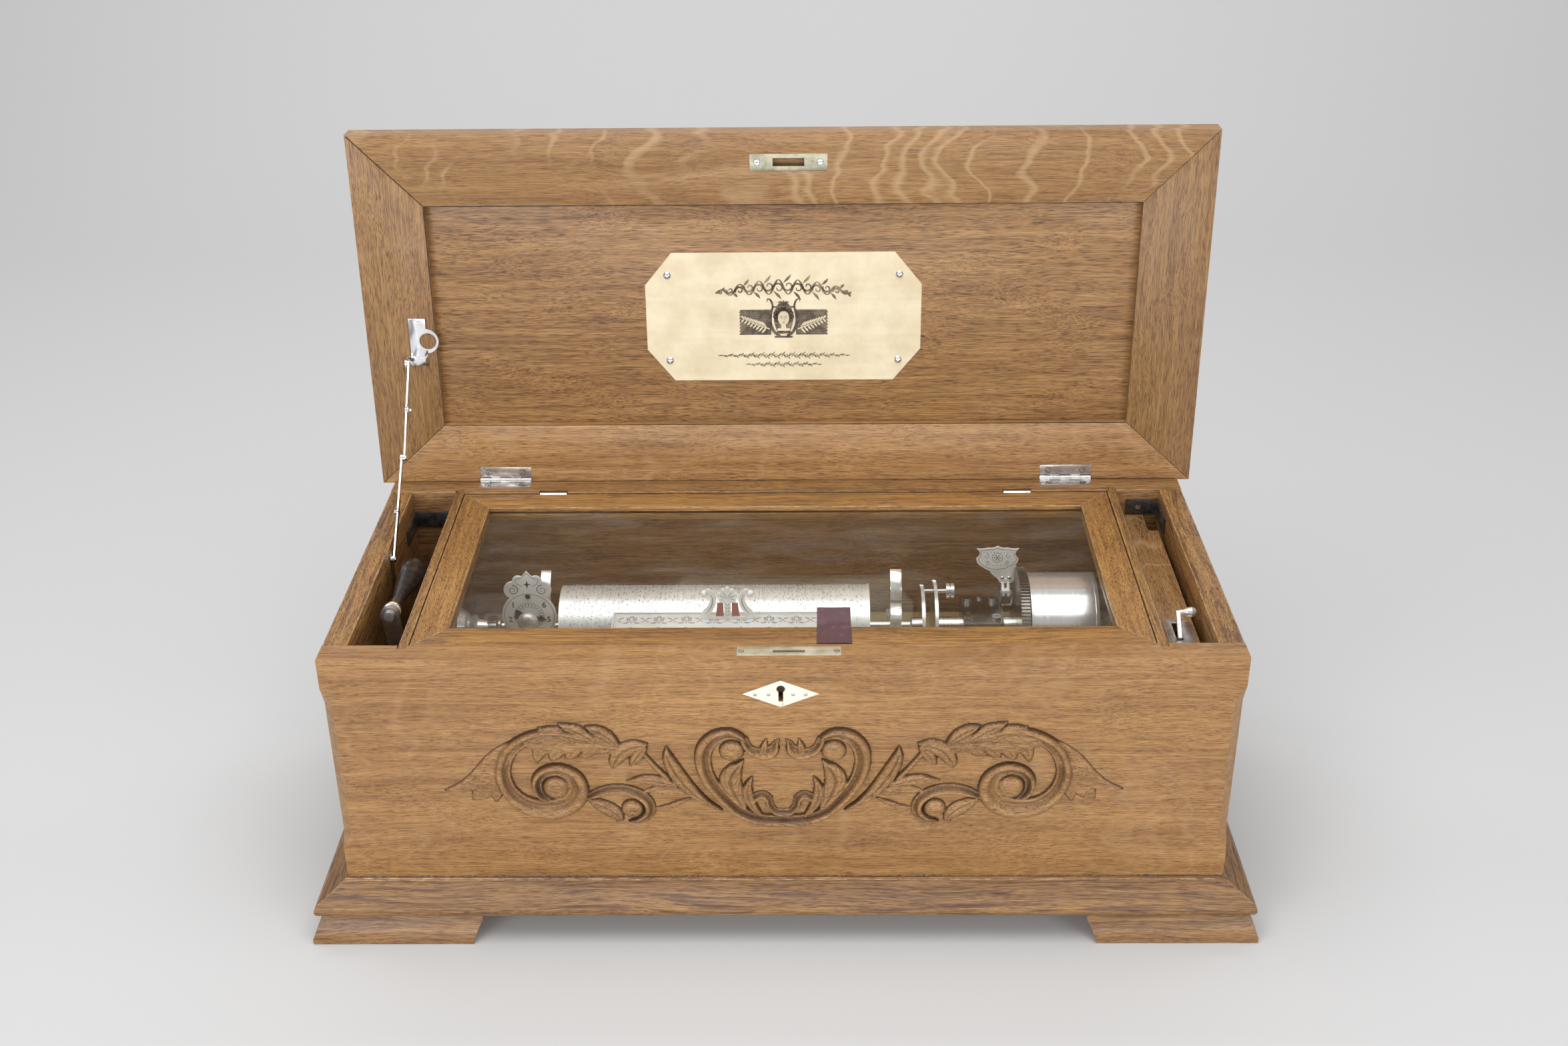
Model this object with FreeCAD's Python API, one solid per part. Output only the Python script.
import FreeCAD, Part
import math
import os

# Cylinder music box in an oak case: millimetres, +Z up, front towards -Y.
# Everything is drawn in the case's own frame (origin on the floor under the
# middle of the case) and moved along Y at the end, so that the origin is the
# bottom centre of the whole object with its lid standing open.

V = FreeCAD.Vector

# ---- driving dimensions: case ----
CASE_W = 720.0
CASE_D = 310.0
RIM_Z = 258.0
FOOT_H = 24.0
END_T = 20.0
PANEL_T = 22.0
MOULD_TOP = 48.0
MOULD_OUT = 25.0
FOOT_OUT = 28.0
FOOT_LEN = 140.0
FOOT_SIDE_LEN = 105.0
FOOT_LEG = 42.0
BOTTOM_Z = 34.0
BOTTOM_T = 14.0
CHAMFER = 8.0
CHAMFER_LOW = (75.0, 91.0)
CHAMFER_HIGH = (215.0, 232.0)
PART_X = 293.0
PART_T = 7.5
DADO = 5.0
BEARER_TOP = 129.0
COVER_Z = 233.0
COVER_T = 9.0

# ---- driving dimensions: lid ----
LID_W = 743.0
LID_T = 24.0
HINGE_Y = 156.5
LID_LEN = 321.5
LID_BACK = 2.0
LID_FRONT_RAIL = 62.5
LID_REAR_RAIL = 55.0
LID_PANEL_X = 310.0
LID_PANEL_SINK = 7.0
LID_PANEL_T = 13.0
LID_GROOVE = 8.0
LID_GAP = 0.1
LID_EDGE = 5.0
OPEN_DEG = 92.2
KNUCKLE_R = 3.2
PIN_R = 1.5
LEAF_T = 1.8
HINGE_X = 257.5
LEAF_W = 47.0
LEAF_L = 13.5

# ---- driving dimensions: lid stay, in the plane of its arms ----
STAY_FOOT = (27.0, 247.0)
STAY_HEAD = (152.5, 377.0)
STAY_LOWER_L = 94.0
STAY_UPPER_L = 87.0
STAY_X = -337.4
STAY_T = 1.8
STAY_GAP = 0.4
STAY_HALF_W = 3.4

# ---- driving dimensions: glass lid ----
GLASS_X = 292.0
GLASS_Y = 132.0
GLASS_TOP = 256.5
GLASS_BOTTOM = 244.0
GLASS_OPEN_X = 265.5
GLASS_OPEN_Y = 104.5
PANE_Z = 250.0
PANE_T = 2.0
STRAP_X = (27.0, 55.0)
STRAP_T = 1.2

# ---- driving dimensions: mechanism ----
AXIS_Y = 30.0
AXIS_Z = 177.0
CYL_X = (-195.0, 74.0)
CYL_R = 36.0
CYL_WALL = 2.0
ARBOR_R = 4.0
RUN_FIT = 0.05
BED_TOP = 137.0
BED_T = 8.0
DISC_T = 3.0
DISC_A = (119.0, 35.0)
DISC_B = (130.0, 39.0)
DRIVE_R = 7.5
BLOCK_X = (156.0, 191.0)
BLOCK_Y = (11.0, 60.0)
BLOCK_Z = 189.0
WHEEL_X = (203.0, 210.5)
GEAR_MODULE = 1.0
WHEEL_TEETH = 100
PINION_TEETH = 12
WORM_WHEEL_TEETH = 36
WORM_WHEEL_R = 14.4
WORM_R = 2.4
FAN_Y = -44.0
BARREL_X = (212.0, 270.0)
BARREL_R = 46.0
BARREL_WALL = 2.0
WINDER_R = 5.0
DIAL_X = -221.0
DIAL_Z = 199.0
DIAL_R = 23.5
DIAL_Y = (11.0, 13.0)
SNAIL_R = 11.0
SNAIL_RISE = 0.39
SNAIL_GAP = 0.6
COMB_TEETH = 70
COMB_X = (-192.0, 70.0)
COMB_Z = 186.0
COMB_T = 2.5
COMB_TIP_Y = -6.2
ZITHER_X = (-147.0, 51.0)
ZITHER_Z = 204.5
ZITHER_BACK_Y = 4.0
ZITHER_PIVOT = (-55.0, 199.0)
LYRE_Y = (-9.0, -6.0)
PIN_HOLE_R = 30.0
PIN_HOLE_DEG = 60.0
CHECK_PIVOT = (52.0, 196.0)
LATCH_PIVOT = (47.0, 178.0)
LEFT_LATCH_X = (-213.5, -204.5)
RIGHT_LATCH_X = (92.5, 102.5)
CLICK_PIVOT = (8.0, 193.0)

# ---- driving dimensions: crank and levers ----
CRANK_X = -320.5
CRANK_Y = -66.0
CRANK_HEAD_Z = 247.5
CRANK_FOOT = (-313.0, 166.0)
GRIP_BACK = (-320.5, 33.0, 236.5)
LEVER_X = 320.0
LEVER_PIVOT = (-80.0, 140.0)
LOCK_X = 5.5
KEY_X = -1.0
KEY_Z = 226.5


def box(x0, x1, y0, y1, z0, z1):
    return Part.makeBox(x1 - x0, y1 - y0, z1 - z0, V(x0, y0, z0))


def rod(radius, start, end):
    along = V(*end) - V(*start)
    return Part.makeCylinder(radius, along.Length, V(*start), along)


def cyl_x(radius, x0, x1, y=AXIS_Y, z=AXIS_Z):
    return rod(radius, (x0, y, z), (x1, y, z))


def cyl_y(radius, y0, y1, x, z):
    return rod(radius, (x, y0, z), (x, y1, z))


def cyl_z(radius, z0, z1, x, y):
    return rod(radius, (x, y, z0), (x, y, z1))


def face(points):
    return Part.Face(Part.makePolygon(points + [points[0]]))


def plate_yz(points, x0, x1):
    """A flat outline of (y, z) points, given thickness from x0 to x1."""
    return face([V(x0, y, z) for y, z in points]).extrude(V(x1 - x0, 0, 0))


def plate_xz(points, y0, y1):
    return face([V(x, y0, z) for x, z in points]).extrude(V(0, y1 - y0, 0))


def plate_xy(points, z0, z1):
    return face([V(x, y, z0) for x, y in points]).extrude(V(0, 0, z1 - z0))


def arcs_xz(points, y0, y1):
    """A flat plate whose closed edge is a chain of arcs: end, middle, end, middle and so on."""
    rim = [V(x, y0, z) for x, z in points]
    rim.append(rim[0])
    edges = [Part.Arc(*rim[i:i + 3]).toShape() for i in range(0, len(rim) - 2, 2)]
    return Part.Face(Part.Wire(edges)).extrude(V(0, y1 - y0, 0))


def bar_xz(points, y0, y1):
    """A flat curved bar through (x, z, half width) points, with round joints."""
    solids = [cyl_y(half, y0, y1, x, z) for x, z, half in points]
    for (xa, za, ra), (xb, zb, rb) in zip(points, points[1:]):
        length = math.hypot(xb - xa, zb - za)
        nx = (zb - za) / length
        nz = (xa - xb) / length
        quad = [(xa + nx * ra, za + nz * ra), (xb + nx * rb, zb + nz * rb)]
        quad += [(xb - nx * rb, zb - nz * rb), (xa - nx * ra, za - nz * ra)]
        solids.append(plate_xz(quad, y0, y1))
    return fuse(solids[0], *solids[1:])


def turned_x(profile, y=AXIS_Y, z=AXIS_Z):
    """A turned piece about an X axis, from (x, radius) points."""
    ends = [V(profile[0][0], y, z), V(profile[-1][0], y, z)]
    rim = [V(x, y, z + r) for x, r in profile]
    outline = face([ends[0]] + rim + [ends[1]])
    return outline.revolve(V(0, y, z), V(1, 0, 0), 360)


def fuse(first, *others):
    return first.fuse(list(others)).removeSplitter()


def cut(first, *others):
    return first.cut(list(others))


def group(*solids):
    return Part.makeCompound(list(solids))


def mirrored(shape):
    return shape.mirror(V(0, 0, 0), V(1, 0, 0))


def turned(shape, degrees, point, axis):
    copy = shape.copy()
    copy.rotate(V(*point), V(*axis), degrees)
    return copy


def arc_points(cy, cz, radius, start, end, steps):
    """Points of an arc in a plane, from start to end degrees."""
    angles = [start + (end - start) * i / steps for i in range(steps + 1)]
    return [
        (cy + radius * math.cos(math.radians(a)), cz + radius * math.sin(math.radians(a)))
        for a in angles
    ]


def wood_screw(x, y, z, outward, head_r=2.9, length=11.0):
    """A countersunk slotted screw, its head flush at the point given."""
    out = V(*outward)
    at = V(x, y, z)
    head = Part.makeCone(head_r * 0.45, head_r, 2.0, at - out * 2.0, out)
    shank = Part.makeCylinder(head_r * 0.45, length - 1.9, at - out * length, out)
    body = fuse(head, shank)
    across = V(0, 0, 1) if abs(out.z) < 0.5 else V(1, 0, 0)
    slot = Part.makeBox(head_r * 3, 0.6, 0.8)
    slot.translate(V(-head_r * 1.5, -0.3, -0.7))
    frame = FreeCAD.Rotation(across, out.cross(across), out, "ZXY")
    slot.Placement = FreeCAD.Placement(at, frame).multiply(slot.Placement)
    return cut(body, slot)


def machine_screw(x, y, z, head_r=4.0, head_h=4.0, shank=8.0):
    """A tall cheese-head screw standing on a horizontal face."""
    head = cyl_z(head_r, z, z + head_h, x, y)
    stem = cyl_z(head_r * 0.5, z - shank, z, x, y)
    slot = box(x - head_r, x + head_r, y - 0.5, y + 0.5, z + head_h - 1.2, z + head_h)
    return cut(fuse(head, stem), slot)


def gear(teeth, module, x0, x1, y, z, tip_half, root_half, turn=0.0):
    """A spur gear about an X axis, with straight-flanked clock teeth."""
    pitch_r = teeth * module / 2
    tip_r = pitch_r + 0.8 * module
    root_r = pitch_r - 1.2 * module
    points = []
    for i in range(teeth):
        middle = 2 * math.pi * i / teeth + turn
        for radius, half in (
            (root_r, -root_half),
            (tip_r, -tip_half),
            (tip_r, tip_half),
            (root_r, root_half),
        ):
            angle = middle + half / radius
            points.append((y + radius * math.cos(angle), z + radius * math.sin(angle)))
    return plate_yz(points, x0, x1)


def open_lid(shape):
    """Swings a piece drawn with the lid shut to where the open lid rests."""
    return turned(shape, -OPEN_DEG, (0, HINGE_Y, RIM_Z), (1, 0, 0))


# ---------------------------------------------------------------- the case

HALF_W = CASE_W / 2
HALF_D = CASE_D / 2
IN_X = HALF_W - END_T
IN_Y = HALF_D - PANEL_T


def hinge_recess():
    """The room for both butt hinges in the rim's back edge."""
    cuts = []
    for side in (-1, 1):
        x0 = side * HINGE_X - LEAF_W / 2
        cuts.append(box(x0, x0 + LEAF_W, HINGE_Y - LEAF_L, HALF_D, RIM_Z - LEAF_T, RIM_Z))
        cuts.append(cyl_x(KNUCKLE_R + 0.4, x0, x0 + LEAF_W, HINGE_Y, RIM_Z))
    return cuts


def dado_cuts():
    return [
        box(s - 0.2, s + PART_T + 0.2, -IN_Y - DADO, IN_Y + DADO, BOTTOM_Z, RIM_Z)
        for s in (PART_X, -PART_X - PART_T)
    ]


def bottom_board():
    return box(-IN_X, IN_X, -IN_Y, IN_Y, BOTTOM_Z, BOTTOM_Z + BOTTOM_T)


def stopped_chamfer(side):
    """The cutter for one front corner: a flat chamfer with sloping stops."""
    x = side * HALF_W
    y = -HALF_D
    low_tip, low_full = CHAMFER_LOW
    high_full, high_tip = CHAMFER_HIGH
    rings = []
    for z, size in ((low_tip, 0.05), (low_full, CHAMFER), (high_full, CHAMFER), (high_tip, 0.05)):
        corner = [V(x + side, y - 1, z), V(x - side * size, y - 1, z), V(x - side * size, y, z)]
        corner += [V(x, y + size, z), V(x + side, y + size, z)]
        rings.append(Part.makePolygon(corner + [corner[0]]))
    return Part.makeLoft(rings, True, True)


def keyhole(y0, y1):
    round_end = cyl_y(3.4, y0, y1, KEY_X, KEY_Z + 4.5)
    return fuse(round_end, box(KEY_X - 1.8, KEY_X + 1.8, y0, y1, KEY_Z - 7, KEY_Z + 4.5))


def front_panel():
    board = box(-HALF_W, HALF_W, -HALF_D, -IN_Y, FOOT_H, RIM_Z)
    lock_room = box(LOCK_X - 34.2, LOCK_X + 34.2, -148.2, -138.8, 203.8, RIM_Z)
    plate_room = box(LOCK_X - 40.6, LOCK_X + 40.6, -149.7, -136.3, RIM_Z - 2, RIM_Z)
    key = keyhole(-HALF_D - 1, -IN_Y - 8)
    holes = dado_cuts() + iron_screws() + lock_screws()
    return cut(board, stopped_chamfer(1), stopped_chamfer(-1), lock_room, plate_room, key, *holes)


def back_panel():
    board = box(-HALF_W, HALF_W, IN_Y, HALF_D, FOOT_H, RIM_Z)
    pocket = box(-224, -198, IN_Y, IN_Y + 3, GLASS_TOP - 9, RIM_Z)
    holes = dado_cuts() + iron_screws() + leaf_screws(-1)
    return cut(board, pocket, mirrored(pocket), *hinge_recess(), *holes)


def case_ends():
    end = box(IN_X, HALF_W, -IN_Y, IN_Y, FOOT_H, RIM_Z)
    winding_hole = cyl_x(9.0, IN_X - 1, HALF_W + 1)
    screws = iron_screws()
    return group(cut(mirrored(end), *screws), cut(end, winding_hole, *screws))


def partitions():
    reach = IN_Y + DADO - 0.2
    wall = box(PART_X, PART_X + PART_T, -reach, reach, BOTTOM_Z + BOTTOM_T, RIM_Z - 1)
    left = mirrored(wall)
    right = cut(wall, cyl_x(7.5, PART_X - 1, PART_X + PART_T + 1))
    return group(left, right)


def moulding_profile():
    """Outline of the base moulding: distance out from the case, and height."""
    nose = arc_points(MOULD_OUT - 6.5, FOOT_H + 6.5, 6.5, -90, 60, 8)
    return [(0.0, FOOT_H)] + nose + [(2.5, MOULD_TOP - 1.5), (2.5, MOULD_TOP), (0.0, MOULD_TOP)]


def mitred_run(length_half, edge, profile, along_x):
    """A straight moulding whose ends are cut to meet its neighbours at 45 degrees."""
    reach = MOULD_OUT + 5
    if along_x:
        points = [V(-length_half - reach, -edge - out, z) for out, z in profile]
        run = face(points).extrude(V(2 * (length_half + reach), 0, 0))
        far = length_half + reach
        wedge = [(-length_half, -edge), (-far, -edge - reach), (far, -edge - reach)]
        wedge.append((length_half, -edge))
    else:
        points = [V(edge + out, -length_half - reach, z) for out, z in profile]
        run = face(points).extrude(V(0, 2 * (length_half + reach), 0))
        far = length_half + reach
        wedge = [(edge, -length_half), (edge + reach, -far), (edge + reach, far)]
        wedge.append((edge, length_half))
    return run.common(plate_xy(wedge, 0, RIM_Z))


def base_mouldings():
    profile = moulding_profile()
    front = mitred_run(HALF_W, HALF_D, profile, True)
    side = mitred_run(HALF_D, HALF_W, profile, False)
    back = front.mirror(V(0, 0, 0), V(0, 1, 0))
    return group(front, back, side, mirrored(side))


def foot_pair(sx, sy):
    """The two mitred legs of one bracket foot, flaring outwards to the floor."""
    flare = [(-FOOT_LEG + FOOT_OUT, 0.0), (FOOT_OUT, 0.0), (FOOT_OUT, 5.0)]
    flare += [(FOOT_OUT - 3.0, 12.0), (MOULD_OUT - 7.0, FOOT_H), (-FOOT_LEG + FOOT_OUT, FOOT_H)]
    cx = HALF_W + FOOT_OUT
    cy = HALF_D + FOOT_OUT
    front = face([V(cx - FOOT_LEN, -HALF_D - out, z) for out, z in flare]).extrude(V(FOOT_LEN, 0, 0))
    toe = cx - FOOT_LEN
    end_cut = [(toe - 1, -1.0), (toe + 8.0, -1.0), (toe + 7.0, 5.0), (toe + 3.0, 14.0)]
    end_cut.append((toe - 1, FOOT_H - 3.0))
    front = cut(front, plate_xz(end_cut, -cy - 1, 0))
    mitre = [(cx + 1, -cy - 1), (cx - FOOT_LEN - 1, -cy - 1), (cx - FOOT_LEN - 1, -cy + FOOT_LEG)]
    mitre.append((cx - FOOT_LEG, -cy + FOOT_LEG))
    front = front.common(plate_xy(mitre, -1, FOOT_H + 1))
    side = face([V(HALF_W + out, -cy, z) for out, z in flare]).extrude(V(0, FOOT_SIDE_LEN, 0))
    side_end = -cy + FOOT_SIDE_LEN + 1
    mitre = [(cx + 1, -cy - 1), (cx + 1, side_end), (cx - FOOT_LEG, side_end)]
    mitre.append((cx - FOOT_LEG, -cy + FOOT_LEG))
    side = side.common(plate_xy(mitre, -1, FOOT_H + 1))
    legs = [front, side]
    if sx < 0:
        legs = [mirrored(leg) for leg in legs]
    if sy > 0:
        legs = [leg.mirror(V(0, 0, 0), V(0, 1, 0)) for leg in legs]
    return legs


def bracket_feet():
    return group(*[leg for sx in (-1, 1) for sy in (-1, 1) for leg in foot_pair(sx, sy)])


def bed_bearers():
    left = box(-282, -262, -IN_Y, IN_Y, BOTTOM_Z + BOTTOM_T, BEARER_TOP)
    right = box(272, 292, -IN_Y, IN_Y, BOTTOM_Z + BOTTOM_T, BEARER_TOP)
    screws = bed_screws()
    return group(cut(left, *screws), cut(right, *screws))


def compartment_cover():
    board = box(PART_X + PART_T + 0.5, 336, -IN_Y + 1, IN_Y - 1, COVER_Z - COVER_T, COVER_Z)
    back_notch = box(327, 337, 100, IN_Y, COVER_Z - COVER_T - 1, COVER_Z + 1)
    front_notch = box(327, 337, -IN_Y, -114, COVER_Z - COVER_T - 1, COVER_Z + 1)
    slot = box(LEVER_X - 3.5, LEVER_X + 3.5, -93, -62, COVER_Z - COVER_T - 1, COVER_Z + 1)
    return cut(board, back_notch, front_notch, slot)


def control_plate():
    plate = box(LEVER_X - 9.5, LEVER_X + 12.5, -106, -57.5, COVER_Z, COVER_Z + 1.5)
    spots = [(LEVER_X + x, y) for x in (-9.5, 12.5) for y in (-106, -57.5)]
    corners = [cyl_z(3.5, COVER_Z, COVER_Z + 2, x, y) for x, y in spots]
    slot = box(LEVER_X - 2.6, LEVER_X + 2.6, -91, -64, COVER_Z - 1, COVER_Z + 3)
    return cut(plate, slot, *corners)


def scroll(cx, cz, radius, width):
    """A ring of carved relief standing out of the front panel."""
    ring = cyl_y(radius, -HALF_D - 5, -HALF_D, cx, cz)
    return cut(ring, cyl_y(radius - width, -HALF_D - 6, -HALF_D + 1, cx, cz))


def front_carving():
    """Low relief of scrolls and leaves, the same on both sides of the middle."""
    relief = []
    for outline in (
        [(-272, 139), (-232, 158), (-205, 182), (-212, 150), (-226, 136)],
        [(-198, 190), (-170, 200), (-130, 186), (-122, 172), (-160, 182)],
        [(-92, 182), (-84, 160), (-48, 116), (-80, 140)],
    ):
        relief.append(plate_xz(outline, -HALF_D - 5, -HALF_D))
    relief.append(scroll(-182, 144, 42, 9))
    relief.append(scroll(-184, 142, 22, 8))
    relief.append(scroll(-121, 122, 12, 6))
    relief.append(scroll(-40, 170, 22, 8))
    right = [mirrored(piece) for piece in relief]
    middle = cut(scroll(0, 148, 44, 8), box(-50, 50, -170, -150, 160, 200))
    return group(fuse(relief[0], *relief[1:], middle, *right))


def iron(sx, sy, z):
    """One black iron angle let into a top corner of an end compartment."""
    x = sx * IN_X
    y = sy * IN_Y
    side = box(x - 2, x, y - 40, y, z, z + 14) if sy > 0 else box(x - 2, x, y, y + 18, z, z + 14)
    if sx < 0:
        side.translate(V(2, 0, 0))
    back = box(x, x + 37, y - 2, y, z, z + 14) if sy > 0 else box(x, x + 37, y, y + 2, z, z + 14)
    if sx > 0:
        back = box(x - 29, x, y - 2, y, z, z + 14) if sy > 0 else box(x - 29, x, y, y + 2, z, z + 14)
    return fuse(side, back)


IRONS = [(-1, 1, 224.0), (-1, -1, 224.0), (1, 1, 234.0), (1, -1, 234.0)]


def corner_irons():
    return group(*[cut(iron(*place), *iron_screws()) for place in IRONS])


def iron_screws():
    screws = []
    for sx, sy, z in IRONS:
        reach = 30 if sy > 0 else 12
        screws.append(wood_screw(sx * (IN_X - 2), sy * (IN_Y - reach), z + 7, (-sx, 0, 0), 2.4, 10))
        screws.append(wood_screw(sx * (IN_X - 18), sy * (IN_Y - 2), z + 7, (0, -sy, 0), 2.4, 10))
    return screws


def box_lock():
    body = box(LOCK_X - 34, LOCK_X + 34, -148, -139, 204, RIM_Z - 2)
    hollow = box(LOCK_X - 30, LOCK_X + 30, -146.5, -140.5, 207, RIM_Z - 4)
    plate = box(LOCK_X - 40.5, LOCK_X + 40.5, -149.6, -136.4, RIM_Z - 2, RIM_Z)
    link_slot = box(LOCK_X - 12.4, LOCK_X + 12.4, -144.9, -141.1, RIM_Z - 5, RIM_Z + 1)
    key = keyhole(-149, -145)
    return group(cut(fuse(body, plate), hollow, link_slot, key, *lock_screws()))


def lock_screws():
    return [wood_screw(LOCK_X + s * 37.2, -143, RIM_Z, (0, 0, 1), 2.2, 12) for s in (-1, 1)]


def lock_bolt():
    bar = box(LOCK_X - 24, LOCK_X + 16, -145.4, -141.6, 240, 248)
    return fuse(bar, box(LOCK_X - 12, LOCK_X - 6, -145.4, -141.6, 228, 241))


def escutcheon():
    outline = [(KEY_X - 30, KEY_Z), (KEY_X, KEY_Z + 12.2), (KEY_X + 30, KEY_Z), (KEY_X, KEY_Z - 12.2)]
    return cut(plate_xz(outline, -HALF_D - 0.9, -HALF_D), keyhole(-HALF_D - 2, -HALF_D + 1))


def leaf_screws(z_side):
    """Two slotted screws in each leaf, on the rim side or the lid side."""
    z = RIM_Z - 0.2 if z_side < 0 else RIM_Z + 0.2
    places = [(side * HINGE_X + s * 15.5, HINGE_Y - 8.2) for side in (-1, 1) for s in (-1, 1)]
    return [wood_screw(x, y, z, (0, 0, -z_side), 2.6, 12) for x, y in places]


def knuckle_spans(start, of_lid):
    """The five knuckles of a butt hinge: three on the case, two on the lid."""
    width = LEAF_W / 5
    spans = []
    for i in range(5):
        if (i % 2 == 1) == of_lid:
            spans.append((start + i * width + 0.15, start + (i + 1) * width - 0.15))
    return spans


def hinge_leaf(side, of_lid):
    x0 = side * HINGE_X - LEAF_W / 2
    z0, z1 = (RIM_Z + 0.2, RIM_Z + LEAF_T) if of_lid else (RIM_Z - LEAF_T, RIM_Z - 0.2)
    leaf = box(x0, x0 + LEAF_W, HINGE_Y - LEAF_L + 0.2, HINGE_Y - KNUCKLE_R - 0.4, z0, z1)
    leaf = cut(leaf, *leaf_screws(1 if of_lid else -1))
    pieces = [leaf]
    for a, b in knuckle_spans(x0, of_lid):
        knuckle = cyl_x(KNUCKLE_R, a, b, HINGE_Y, RIM_Z)
        tab = box(a, b, HINGE_Y - KNUCKLE_R - 1, HINGE_Y, z0, z1)
        pieces.append(cut(fuse(knuckle, tab), cyl_x(PIN_R + RUN_FIT, a - 1, b + 1, HINGE_Y, RIM_Z)))
    return fuse(pieces[0], *pieces[1:])


def hinge_case_leaves():
    """The fixed leaves with the hinge pins pressed into their end knuckles."""
    pieces = []
    for side in (-1, 1):
        x0 = side * HINGE_X - LEAF_W / 2
        pieces.append(hinge_leaf(side, False))
        pieces.append(cyl_x(PIN_R, x0, x0 + LEAF_W, HINGE_Y, RIM_Z))
    return group(*pieces)


# ---------------------------------------------------------------- the lid

LID_FRONT_Y = HINGE_Y - LID_LEN
LID_REAR_Y = HINGE_Y + LID_BACK
PANEL_FRONT_Y = LID_FRONT_Y + LID_FRONT_RAIL
PANEL_REAR_Y = HINGE_Y - LID_REAR_RAIL


def lid_frame_rails():
    """Four mitred rails with an eased edge, grooved for the panel."""
    hw = LID_W / 2
    slab = box(-hw, hw, LID_FRONT_Y, LID_REAR_Y, RIM_Z + LID_GAP, RIM_Z + LID_T)
    top_edges = [e for e in slab.Edges if e.CenterOfMass.z > RIM_Z + LID_T - 0.01]
    slab = slab.makeChamfer(LID_EDGE, top_edges)
    opening = box(-LID_PANEL_X, LID_PANEL_X, PANEL_FRONT_Y, PANEL_REAR_Y, RIM_Z - 1, RIM_Z + LID_T + 1)
    z0 = RIM_Z + LID_PANEL_SINK
    groove_x = LID_PANEL_X + LID_GROOVE
    groove_y = (PANEL_FRONT_Y - LID_GROOVE, PANEL_REAR_Y + LID_GROOVE)
    groove = box(-groove_x, groove_x, *groove_y, z0, z0 + LID_PANEL_T)
    strike_y = (LID_FRONT_Y + 18.3, LID_FRONT_Y + 33.2)
    strike_room = box(LOCK_X - 33.4, LOCK_X + 33.4, *strike_y, RIM_Z - 1, RIM_Z + 2)
    link_room = box(LOCK_X - 14, LOCK_X + 14, LID_FRONT_Y + 21, LID_FRONT_Y + 30, RIM_Z - 1, RIM_Z + 9)
    slab = cut(slab, opening, groove, strike_room, link_room)
    slab = cut(slab, *leaf_screws(1), *strike_screws(), *stay_bracket_screws())
    for side in (-1, 1):
        x0 = side * HINGE_X - LEAF_W / 2
        leaf = box(x0, x0 + LEAF_W, HINGE_Y - LEAF_L, LID_REAR_Y + 1, RIM_Z - 1, RIM_Z + LEAF_T)
        slab = cut(slab, leaf, cyl_x(KNUCKLE_R + 0.4, x0, x0 + LEAF_W, HINGE_Y, RIM_Z))
    near = [(LID_PANEL_X, PANEL_FRONT_Y), (-LID_PANEL_X, PANEL_FRONT_Y)]
    far = [(LID_PANEL_X, PANEL_REAR_Y), (-LID_PANEL_X, PANEL_REAR_Y)]
    front = [(-hw, LID_FRONT_Y), (hw, LID_FRONT_Y), *near]
    rear = [(-hw, LID_REAR_Y), (hw, LID_REAR_Y), *far]
    right = [(hw, LID_FRONT_Y), (hw, LID_REAR_Y), far[0], near[0]]
    left = [(-x, y) for x, y in right]
    rails = [slab.common(plate_xy(p, RIM_Z - 2, RIM_Z + LID_T + 2)) for p in (front, rear, right, left)]
    return open_lid(group(*rails))


def lid_panel():
    z0 = RIM_Z + LID_PANEL_SINK
    tongue = LID_GROOVE - 1.0
    half = LID_PANEL_X + tongue
    y_span = (PANEL_FRONT_Y - tongue, PANEL_REAR_Y + tongue)
    return open_lid(box(-half, half, *y_span, z0 + 0.1, z0 + LID_PANEL_T - 0.1))


def strike_screws():
    y = LID_FRONT_Y + 25.7
    return [wood_screw(LOCK_X + s * 27, y, RIM_Z + 0.1, (0, 0, -1), 2.6, 12) for s in (-1, 1)]


def strike_plate():
    y0 = LID_FRONT_Y + 18.4
    plate = box(LOCK_X - 33.3, LOCK_X + 33.3, y0, y0 + 14.6, RIM_Z + 0.1, RIM_Z + 2)
    hole = box(LOCK_X - 13.5, LOCK_X + 13.5, y0 + 3.8, y0 + 10.8, RIM_Z - 1, RIM_Z + 3)
    return open_lid(cut(plate, hole, *strike_screws()))


CARD_X = 122.0
CARD_Y = (-58.0, 61.0)
CARD_CUT = (24.0, 29.5)


def tune_card():
    z = RIM_Z + LID_PANEL_SINK
    y0, y1 = CARD_Y
    cx, cy = CARD_CUT
    half = [(CARD_X - cx, y0), (CARD_X, y0 + cy), (CARD_X, y1 - cy), (CARD_X - cx, y1)]
    outline = half + [(-x, y) for x, y in reversed(half)]
    return open_lid(plate_xy(outline, z - 0.5, z + 0.1))


def card_tacks():
    tacks = []
    z = RIM_Z + LID_PANEL_SINK
    for x in (-102.3, 102.3):
        for y in (-37.3, 42.2):
            room = box(x - 5, x + 5, y - 5, y + 5, z - 4, z - 0.5)
            dome = Part.makeSphere(4.2, V(x, y, z + 1.7)).common(room)
            tacks.append(dome)
    return open_lid(group(*tacks))


# ---------------------------------------------------------------- lid stay


def rotate_about_hinge(point, degrees):
    a = math.radians(degrees)
    y = point[0] - HINGE_Y
    z = point[1] - RIM_Z
    return (
        HINGE_Y + y * math.cos(a) - z * math.sin(a),
        RIM_Z + y * math.sin(a) + z * math.cos(a),
    )


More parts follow.
